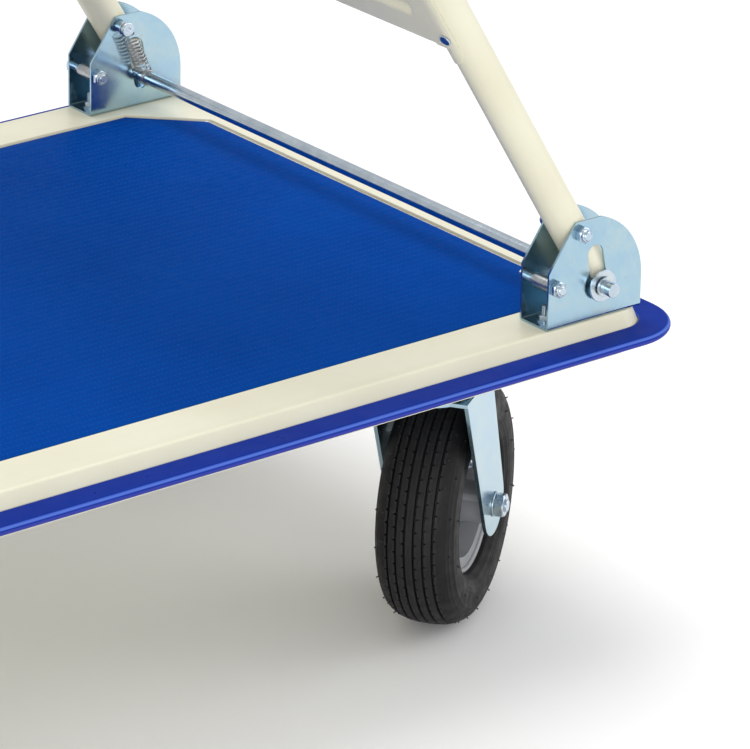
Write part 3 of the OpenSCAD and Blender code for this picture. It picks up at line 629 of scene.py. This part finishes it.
def make_tyre(name):
    rows = tyre_rows()
    ang = np.arange(TURNS) * 2 * np.pi / TURNS
    r = np.array([p[0] for p in rows])
    w = np.array([p[1] for p in rows])
    nick = np.array([p[2] for p in rows])
    # each rib's sipes start a little later than its neighbour's
    late = np.round(np.abs(w) / (4 * MM)).astype(int)
    phase = (np.arange(TURNS)[:, None] + late[None, :]) % NICK_STEP
    wide = w[None, :] + np.where(phase == 0, 1.9 * MM, 0.0) * nick[None, :]
    pts = np.stack(
        [np.cos(ang)[:, None] * r, np.sin(ang)[:, None] * r, wide], -1
    ).reshape(-1, 3)
    faces = grid(TURNS, len(rows), wrap_rows=True, wrap_cols=True)
    m = wheel_frame(name)
    shape = Shape()
    shape.add(pts, faces, m)
    # vent hairs left by the mould on both shoulders
    rng = np.random.default_rng(7)
    for side in (1, -1):
        for radius, count, offset in ((105.0, 26, 0.0), (97.5, 18, 0.3), (84.0, 12, 0.6)):
            for i in range(count):
                a = 2 * math.pi * (i + offset) / count + rng.uniform(-0.01, 0.01)
                rr = radius * MM
                ww = SECTION_A * (1 - (abs(rr - SECTION_C) / SECTION_B) ** 2.5) ** 0.4
                length = rng.uniform(1.4, 2.8) * MM
                lean = rng.uniform(-0.35, 0.35)
                base = np.array([rr * math.cos(a), rr * math.sin(a), side * (ww - 0.9 * MM)])
                d = np.array([math.cos(a) * 0.45 - math.sin(a) * lean,
                              math.sin(a) * 0.45 + math.cos(a) * lean, side * 0.75])
                d /= np.linalg.norm(d)
                bend = np.array([math.cos(a), math.sin(a), 0]) * length * 0.12
                path = [base, base + d * length * 0.5, base + d * length + bend]
                shape.add(*tube_along(path, 0.6 * MM, 6), m)
    tyre = shape.build(f"{name}_tyre_ribbed", [MATS["tyre_rubber"]], angle=38)
    finish_piece(tyre, NODE_BODY[f"{name}_tyre"], "tyre_rubber", f"{name}_tyre")


for wheel in WHEELS:
    make_tyre(wheel)


# ---------------------------------------------------------------- fasteners
def fastener_piece(name, shape, slot, body, *nodes):
    obj = shape.build(name, [MATS[slot], MATS["nylon_ring"]], angle=28)
    finish_piece(obj, body, slot, *nodes)


def make_rim_bolts(name):
    shape = Shape()
    base = wheel_frame(name)
    for i in range(5):
        a = math.radians(100 + 72 * i)
        place = base @ Matrix.Translation(
            (RIM_BOLTS * math.cos(a), RIM_BOLTS * math.sin(a), 0))
        turn = Matrix.Rotation(0.4 * i, 4, "Z")
        add_bolt(shape, place @ Matrix.Translation((0, 0, -RIM_SHEET)) @ turn,
                 M8, 15 * MM, 12 * MM)
        add_lock_nut(shape, place @ Matrix.Translation((0, 0, RIM_SHEET)) @ turn, NUT_8)
    fastener_piece(f"{name}_rim_fasteners", shape, "zinc_fastener",
                   NODE_BODY[f"{name}_rim_bolts"], f"{name}_rim_bolts")


def add_axle(shape, name):
    """Axle bolt with its head inside and a washer and nut outside."""
    m = wheel_frame(name)
    n = BOLT_SIDES
    add_bolt(shape, m @ Matrix.Translation((0, 0, -FORK_HALF)),
             M12, 2 * FORK_HALF + 12 * MM, 18 * MM)
    out = m @ Matrix.Translation((0, 0, FORK_HALF))
    washer = [(0, 0.5), (0.1, 0.515), (0.5, 0.53), (1.3, 0.53), (1.55, 0.515), (1.6, 0.5)]
    shape.add(*turned([(z * MM, np.full(n, r * 21 * MM)) for z, r in washer], n), out)
    shape.add(*turned(hex_rows(19 * MM, 1.6 * MM, 10 * MM, n), n),
              out @ Matrix.Rotation(0.3, 4, "Z"))


for wheel in WHEELS:
    make_rim_bolts(wheel)
for wheel in WHEELS[:2]:
    gathered = Shape()
    add_axle(gathered, wheel)
    fastener_piece(f"{wheel}_axle_bolt", gathered, "zinc_fastener",
                   NODE_BODY[f"{wheel}_axle"], f"{wheel}_axle")
gathered = Shape()
for wheel in WHEELS[2:]:
    add_axle(gathered, wheel)
fastener_piece("front_axle_bolts", gathered, "zinc_fastener", "deck", "front_axles")

# base bolts of the brackets, with washers and nuts inside the channel
gathered = Shape()
nuts = Shape()
for side in (-1, 1):
    for x in BASE_BOLTS:
        foot = Matrix.Translation((bracket_x + x, side * bracket_y, rail_foot))
        top = deck_top + BRACKET_SHEET
        add_bolt(gathered, foot, M6, top - rail_foot + 14 * MM, 16 * MM)
        seat = Matrix.Translation((bracket_x + x, side * bracket_y, top))
        washer = [(0, 5.9), (0.1, 6.2), (1.1, 6.2), (1.2, 6)]
        nuts.add(*turned([(z * MM, np.full(BOLT_SIDES, r * MM)) for z, r in washer],
                         BOLT_SIDES), seat)
        nuts.add(*turned(hex_rows(10 * MM, 1.2 * MM, 6 * MM, BOLT_SIDES), BOLT_SIDES),
                 seat @ Matrix.Rotation(0.5 + x * 9, 4, "Z"))
fastener_piece("bracket_base_bolts", gathered, "zinc_fastener", "deck", "bracket_bolts")
fastener_piece("bracket_base_nuts", nuts, "zinc_fastener", "deck", "bracket_nuts")

# pivot bolts with their long round heads, and the stop bolts
pivots, stops = Shape(), Shape()
for side in (-1, 1):
    inward = frame_at(pivot + Vector((0, side * bracket_y, 0)), (0, -side, 0))
    outer = bracket_half + 9 * MM
    n = BOLT_SIDES
    shank = thread_rows(8 * MM, 1.25 * MM, 0, 12 * MM, n)
    turn_out = inward @ Matrix.Rotation(math.pi, 4, "X")
    pivots.add(*turned(shank, n), turn_out @ Matrix.Translation((0, 0, outer - 12 * MM)))
    pivots.add(*turned([(-outer + 12 * MM, 4 * MM), (bracket_half, 4 * MM)], n), inward)
    head = [(0, 5.0), (7.6, 5.0), (7.9, 5.3), (8.0, 6.3), (8.2, 6.75), (8.6, 6.8),
            (10.3, 6.8), (10.7, 6.65), (10.95, 6.2), (11.0, 5.5), (10.98, 2.4),
            (10.7, 2.0), (10.7, 0.5)]
    pivots.add(*turned([(bracket_half + z * MM, np.full(n, r * MM)) for z, r in head], n),
               inward)
    add_lock_nut(pivots, turn_out @ Matrix.Translation((0, 0, bracket_half)), NUT_8)
    stop_at = Vector((bracket_x + STOP[0], side * bracket_y, deck_top + STOP[1]))
    near = frame_at(stop_at, (0, -1, 0))
    add_bolt(stops, near @ Matrix.Translation((0, 0, -bracket_half)),
             M8, 2 * bracket_half + 9 * MM, 13 * MM)
    add_lock_nut(stops, near @ Matrix.Translation((0, 0, bracket_half)), NUT_8)
fastener_piece("pivot_fasteners", pivots, "zinc_fastener", "deck", "pivot_bolts", "pivot_nuts")
fastener_piece("stop_fasteners", stops, "zinc_fastener", "deck", "stop_bolts", "stop_nuts")

# caster bolts and nuts: 16 of each, on the plates' four corners
caster_low, caster_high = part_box("caster_bolts")
plates = [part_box(f"{w}_plate") for w in WHEELS[:2]]
king = [((a + b) / 2) for a, b in plates]
gathered = Shape()
for centre in king:
    for sx in (-1, 1):
        for x in (-PLATE_BOLTS[0], PLATE_BOLTS[0]):
            for y in (-PLATE_BOLTS[1], PLATE_BOLTS[1]):
                foot = Matrix.Translation(
                    (sx * centre.x + x, centre.y + y, caster_low.z + 6 * MM))
                add_bolt(gathered, foot, M10, caster_high.z - caster_low.z - 6 * MM, 14 * MM)
                add_lock_nut(gathered, Matrix.Translation(
                    (sx * centre.x + x, centre.y + y, rail_foot + RAIL_SHEET)), NUT_10)
fastener_piece("caster_fasteners", gathered, "zinc_fastener", "deck",
               "caster_bolts", "caster_nuts")


# ------------------------------------------------------------------ springs
def make_springs():
    """Both return springs, each a hook, an open coil and turns round the rod."""
    wire = 0.75 * MM
    drop = (rod_centre - Vector((pivot.x, rod_centre.y, pivot.z)))
    drop.y = 0
    length = drop.length
    d = np.array(drop.normalized())
    e = np.array([-d[2], 0, d[0]])
    hook_r = 5 * MM + wire + 0.3 * MM
    wrap_r = rod_radius + wire + 0.4 * MM
    coil_r, turns, fine = 7 * MM, 9, 28
    start, end = hook_r + 4 * MM, length - wrap_r - 3 * MM
    shape = Shape()
    for side in (-1, 1):
        y = np.array([0, side, 0])
        at = np.array([pivot.x, side * (bracket_y - bracket_half - coil_r - wire - 1.5 * MM),
                       pivot.z])
        path = [hook_r * (math.cos(a) * e - math.sin(a) * d) + 3.75 * MM * y
                for a in np.radians(np.linspace(200, 0, 30))]
        count = turns * fine
        for i in range(count + 1):
            t, a = i / count, 2 * math.pi * i / fine
            path.append(d * (start + (end - start) * t)
                        + coil_r * (math.cos(a) * e + math.sin(a) * y))
        count = int(2.5 * fine)
        for i in range(count + 1):
            a = 2 * math.pi * i / fine
            path.append(d * length + wrap_r * (math.cos(a) * e + math.sin(a) * d)
                        - y * (i * 2.5 * wire / fine))
        # soften the corners where the three stretches meet
        path = np.array(path)
        for _ in range(6):
            path[1:-1] = path[1:-1] * 0.6 + (path[:-2] + path[2:]) * 0.2
        shape.add(*tube_along(path + at, wire, 10))
    obj = shape.build("return_spring_coils", [MATS["steel"]], angle=50)
    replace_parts(obj, "return_springs")
    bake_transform(obj)


make_springs()


# ---------------------------------------------------------------------- mat
def make_mat():
    """Vinyl mat with rows of raised dashes and a rounded edge."""
    low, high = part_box("deck_mat")
    x, y, top = high.x, high.y, high.z
    cut = 55 * MM
    emboss = 0.35 * MM
    shape = Shape()
    corners = [(x, cut - y), (x, y - cut), (x - cut, y), (cut - x, y),
               (-x, y - cut), (-x, cut - y), (cut - x, -y), (x - cut, -y)]
    face_z = top - emboss
    layers = [(low.z, 0.0), (face_z - 0.9 * MM, 0.0), (face_z - 0.35 * MM, 0.12 * MM),
              (face_z - 0.08 * MM, 0.4 * MM), (face_z, 0.9 * MM)]
    pts, n = [], len(corners)
    for z, inset in layers:
        for cx, cy in corners:
            pts.append((cx - math.copysign(inset, cx), cy - math.copysign(inset, cy), z))
    faces = [list(f) for f in grid(len(layers), n, wrap_cols=True)]
    faces.append(list(range(n))[::-1])
    faces.append([(len(layers) - 1) * n + i for i in range(n)])
    shape.add(pts, faces)
    # dashes in staggered rows
    row_gap, dash_gap = 8.6 * MM, 4.6 * MM
    long_half, wide_half = 1.5 * MM, 0.55 * MM
    rows = int(2 * (y - 6 * MM) / row_gap)
    cells = []
    for r in range(rows + 1):
        cy = -y + 6 * MM + r * row_gap
        reach = min(x, x + y - cut - abs(cy)) - 5 * MM
        count = int(2 * reach / dash_gap)
        off = (r % 2) * dash_gap / 2 - reach
        cx = off + np.arange(count) * dash_gap + long_half
        cells.append(np.stack([cx, np.full(count, cy)], -1))
    centres = np.concatenate(cells)
    ring_xy = np.array([(-1, -1), (1, -1), (1, 1), (-1, 1)], float)
    half = np.array([long_half, wide_half])
    base = ring_xy * half
    crest = ring_xy * (half - np.array([0.45, 0.3]) * MM)
    k = len(centres)
    verts = np.zeros((k, 8, 3))
    verts[:, :4, :2] = centres[:, None, :] + base
    verts[:, 4:, :2] = centres[:, None, :] + crest
    verts[:, :4, 2] = face_z - 0.02 * MM
    verts[:, 4:, 2] = top
    one = np.array([[0, 1, 5, 4], [1, 2, 6, 5], [2, 3, 7, 6], [3, 0, 4, 7], [4, 5, 6, 7],
                    [3, 2, 1, 0]])
    faces = (one[None] + (np.arange(k) * 8)[:, None, None]).reshape(-1, 4)
    shape.add(verts, faces)
    obj = shape.build("deck_mat_embossed", [MATS["mat_vinyl"]], angle=60)
    finish_piece(obj, "deck", "mat_vinyl", "deck_mat")


make_mat()


# -------------------------------------------------------------- cross panel
def make_panel():
    """Pressed sheet between the legs: sunk field, folded edges, side flanges."""
    sheet = 1.2 * MM
    start, height, tail = 228 * MM, 150 * MM, 18 * MM
    r_mid = TUBE_R + sheet / 2 + 0.02 * MM
    web = -r_mid
    inset, depth, slope = 26 * MM, 4.6 * MM, 9 * MM
    wrap = math.radians(34)
    m = Matrix.Translation(pivot) @ HANDLE_AXES
    bm = bmesh.new()

    def sheet_grid(points):
        rows = [[bm.verts.new(p) for p in row] for row in points]
        for a, b in zip(rows, rows[1:]):
            for i in range(len(a) - 1):
                bm.faces.new((a[i], a[i + 1], b[i + 1], b[i]))

    def smooth(t):
        t = min(1.0, max(0.0, t))
        return t * t * (3 - 2 * t)

    def line(stops, step):
        """Values through the stops, no further apart than step."""
        out = [stops[0]]
        for a, b in zip(stops, stops[1:]):
            n = max(1, int(round(abs(b - a) / step)))
            out += [a + (b - a) * (i + 1) / n for i in range(n)]
        return out

    # web with the sunk field, from one tube's crest to the other's
    inner = bracket_y - inset
    fold = 11 * MM
    across = line([-bracket_y, -inner - 2 * MM, -inner + slope + 2 * MM,
                   inner - slope - 2 * MM, inner + 2 * MM, bracket_y], 1.6 * MM)
    keep = [v for i, v in enumerate(across) if abs(v) > inner - slope - 4 * MM or i % 12 == 0]
    across = sorted(set(keep + [bracket_y, -bracket_y]))
    up = line([0, inset - 2 * MM, inset + slope + 2 * MM, height - inset - slope - 2 * MM,
               height - inset + 2 * MM, height], 1.5 * MM)
    bend_r = 2.2 * MM
    bend = np.radians((0, 22.5, 45, 67.5, 90))
    lower = [(web + bend_r * (1 - math.cos(a)), bend_r * (1 - math.sin(a)))
             for a in reversed(bend)]
    rows = []
    lip_x = web + fold

    def at(yy, zz):
        ty = smooth((inner - abs(yy)) / slope)
        tz = smooth(min(zz - inset, height - inset - zz) / slope)
        return web + depth * min(ty, 1) * tz

    tuck = bracket_y - TUBE_R - 1.5 * MM
    for x, z in [(lip_x, 0.0)] + lower:
        rows.append([(x if abs(yy) < tuck else web, yy, start + z) for yy in across])
    for z in up[1:-1]:
        if bend_r < z < height - bend_r:
            rows.append([(at(yy, z), yy, start + z) for yy in across])
    for x, z in [*reversed(lower)]:
        rows.append([(x if abs(yy) < tuck else web, yy, start + height - z) for yy in across])
    rows.append([(lip_x if abs(yy) < tuck else web, yy, start + height) for yy in across])
    sheet_grid(rows)
    # flanges that hug the tubes, with rounded tails above and below the web
    for side in (-1, 1):
        cols = []
        for i in range(25):
            a = (wrap + math.radians(90)) * i / 24
            reach = tail * math.sqrt(max(0.0, 1 - (2 * i / 24 - 1) ** 4))
            phi = math.pi - side * (a - math.radians(90))
            cols.append([(r_mid * math.cos(phi), side * bracket_y + r_mid * math.sin(phi),
                          start + z) for z in np.linspace(-reach, height + reach, 60)])
        sheet_grid([list(r) for r in zip(*cols)])
    mesh = bpy.data.meshes.new("handle_panel_sheet")
    bm.to_mesh(mesh)
    bm.free()
    mesh.transform(m)
    mesh.materials.append(MATS["cream_paint"])
    obj = bpy.data.objects.new("handle_panel_sheet", mesh)
    bpy.context.scene.collection.objects.link(obj)
    solid = obj.modifiers.new("sheet", "SOLIDIFY")
    solid.thickness = sheet
    solid.offset = 0
    soft = obj.modifiers.new("edge", "BEVEL")
    soft.width = 0.3 * MM
    soft.segments = 2
    soft.angle_limit = math.radians(50)
    shade(obj, 40)
    finish_piece(obj, "handle", "cream_paint", "handle_panel")


make_panel()


# -------------------------------------------------------------- handle tube
def make_handle():
    """One bent tube: both legs, two round corners and the top bar."""
    length, bend = HANDLE_LENGTH, HANDLE_BEND
    reach = math.hypot(rod_centre.x - pivot.x, rod_centre.z - pivot.z)
    reach -= rod_radius + 0.3 * MM
    flat = bracket_y - bend
    sides = 72
    path = [(-bracket_y, z) for z in (-reach, -reach * 0.6, 0, 0.1, 0.3, length - bend - 0.02)]
    path += [(-flat - bend * math.cos(a), length - bend + bend * math.sin(a))
             for a in np.radians(np.linspace(0, 90, 37))]
    path += [(y, length) for y in (-flat * 0.5, 0.0, flat * 0.5)]
    path += [(-y, z) for y, z in reversed(path[:-3])]
    ang = np.arange(sides) * 2 * np.pi / sides
    path = np.array(path)
    lines = np.gradient(path, axis=0)
    lines /= np.linalg.norm(lines, axis=1)[:, None]
    lines[0], lines[-1] = (0, 1), (0, -1)
    skins = []
    for radius in (TUBE_R, TUBE_R - TUBE_WALL):
        rows = []
        for k, ((y, z), (dy, dz)) in enumerate(zip(path, lines)):
            x = np.cos(ang) * radius
            off = np.sin(ang) * radius
            yy, zz = y + off * dz, z - off * dy
            if k in (0, len(path) - 1):
                zz = -np.sqrt(reach ** 2 - x ** 2)
            rows.append(np.stack([x, yy, zz], -1))
        skins.append(np.array(rows))
    n = len(path)
    verts = np.concatenate([skins[0].reshape(-1, 3), skins[1].reshape(-1, 3)])
    outer = grid(n, sides, wrap_cols=True)
    inner = outer[:, ::-1] + n * sides
    faces = [list(f) for f in np.concatenate([outer, inner])]
    for row, turn in ((0, 1), (n - 1, -1)):
        for i in range(sides):
            a, b = row * sides + i, row * sides + (i + 1) % sides
            faces.append([a, b, b + n * sides, a + n * sides][::-turn])
    shape = Shape()
    shape.add(verts, faces, Matrix.Translation(pivot) @ HANDLE_AXES)
    obj = shape.build("handle_tube_bent", [MATS["cream_paint"]], angle=50)
    finish_piece(obj, "handle", "cream_paint", "handle_tube")


make_handle()


# -------------------------------------------------- carried-over CAD pieces
BEVEL = {
    "deck_pan": 0.5, "side_rails": 0.6, "cross_members": 0.6, "end_rails": 0.6,
    "bumper": 1.1, "left_bracket": 0.35, "right_bracket": 0.35, "release_rod": 0.6,
    "rod_washers": 0.35, "rod_clips": 0.25, "stop_sleeves": 0.3,
    "panel_screws": 0.5,
}
replaced = {n for o in bpy.data.objects for n in o.get("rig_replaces", [])}
for node_name, obj in frame["nodes"].items():
    slot_name = SLOTS[node_name]
    obj.data.materials.clear()
    obj.data.materials.append(MATS[slot_name])
    if node_name in replaced:
        continue
    weld = obj.modifiers.new("weld", "WELD")
    weld.merge_threshold = 0.003 * MM
    flat = obj.modifiers.new("flat", "DECIMATE")
    flat.decimate_type = "DISSOLVE"
    flat.angle_limit = math.radians(0.4)
    width = BEVEL.get(node_name, 0.4 if "fork" in node_name or "plate" in node_name else 0.25)
    if "balls" not in node_name and "tube" not in node_name:
        soft = obj.modifiers.new("edge", "BEVEL")
        soft.width = width * MM
        soft.segments = 2
        soft.limit_method = "ANGLE"
        soft.angle_limit = math.radians(40)
    obj.data.polygons.foreach_set("use_smooth", [True] * len(obj.data.polygons))
    weighted = obj.modifiers.new("normals", "WEIGHTED_NORMAL")
    weighted.keep_sharp = True
    weighted.weight = 80


# ----------------------------------------------------------- stage and view
def make_floor():
    """Pale seamless floor, far larger than the view."""
    m = Mat("stage_floor", Specular_IOR_Level=0.1)
    m.colour(m.ramp(m.noise(0.8, 2), (0.3, srgb(246, 246, 246)), (0.7, srgb(250, 250, 250))))
    m.rough(m.ramp(m.noise(0.3, 2), (0.3, 0.85), (0.7, 0.95)))
    m.bump((m.noise(0.002, 2), 0.02e-3, 0.1))
    shape = Shape()
    half, steps = 14.0, 24
    line = np.linspace(-half, half, steps)
    gx, gy = np.meshgrid(line, line)
    shape.add(np.stack([gx, gy, np.zeros_like(gx)], -1), grid(steps, steps)[:, ::-1])
    floor = shape.build("floor", [m.m])


def area_light(name, at, target, size, power):
    data = bpy.data.lights.new(name, "AREA")
    data.shape = "RECTANGLE"
    data.size, data.size_y = size
    data.energy = power
    obj = bpy.data.objects.new(name, data)
    bpy.context.scene.collection.objects.link(obj)
    obj.location = at
    obj.rotation_mode = "QUATERNION"
    obj.rotation_quaternion = (Vector(target) - Vector(at)).to_track_quat("-Z", "Y")


CAMERA_ANGLES = (22.5707, 38.9389, 1.0756)  # degrees down, right of +Y, and of roll
CAMERA_AT = (-2.3264, -3.5769, 2.0252)
SENSOR_MM, LENS_MM = 36, 263.43


def make_camera():
    """The photograph's viewpoint, from matching the deck's and bracket's edges."""
    pitch, yaw, roll = (math.radians(v) for v in CAMERA_ANGLES)
    heading = Vector((math.sin(yaw), math.cos(yaw), 0))
    forward = math.cos(pitch) * heading - math.sin(pitch) * UP
    right = Vector((math.cos(yaw), -math.sin(yaw), 0))
    up = right.cross(forward)
    x = math.cos(roll) * right + math.sin(roll) * up
    y = -math.sin(roll) * right + math.cos(roll) * up
    m = Matrix((x, y, -forward)).transposed().to_4x4()
    m.translation = CAMERA_AT
    data = bpy.data.cameras.new("camera")
    data.sensor_width, data.lens = SENSOR_MM, LENS_MM
    data.clip_start, data.clip_end = 0.05, 60
    cam = bpy.data.objects.new("camera", data)
    bpy.context.scene.collection.objects.link(cam)
    cam.matrix_world = m
    bpy.context.scene.camera = cam


make_floor()
area_light("key", (0.6, 0.9, 3.6), (0.3, 0.0, 0.2), (2.6, 2.6), 72)
area_light("front", (-1.6, -3.2, 1.0), (0.2, 0.1, 0.1), (2.8, 1.2), 46)
area_light("fill", (3.0, -1.6, 1.4), (0.4, 0, 0.3), (2.0, 1.6), 24)
make_camera()

world = bpy.data.worlds.new("studio")
world.use_nodes = True
world.node_tree.nodes["Background"].inputs["Color"].default_value = (1, 1, 1, 1)
world.node_tree.nodes["Background"].inputs["Strength"].default_value = 0.74
bpy.context.scene.world = world
bpy.context.scene.view_settings.view_transform = "Standard"
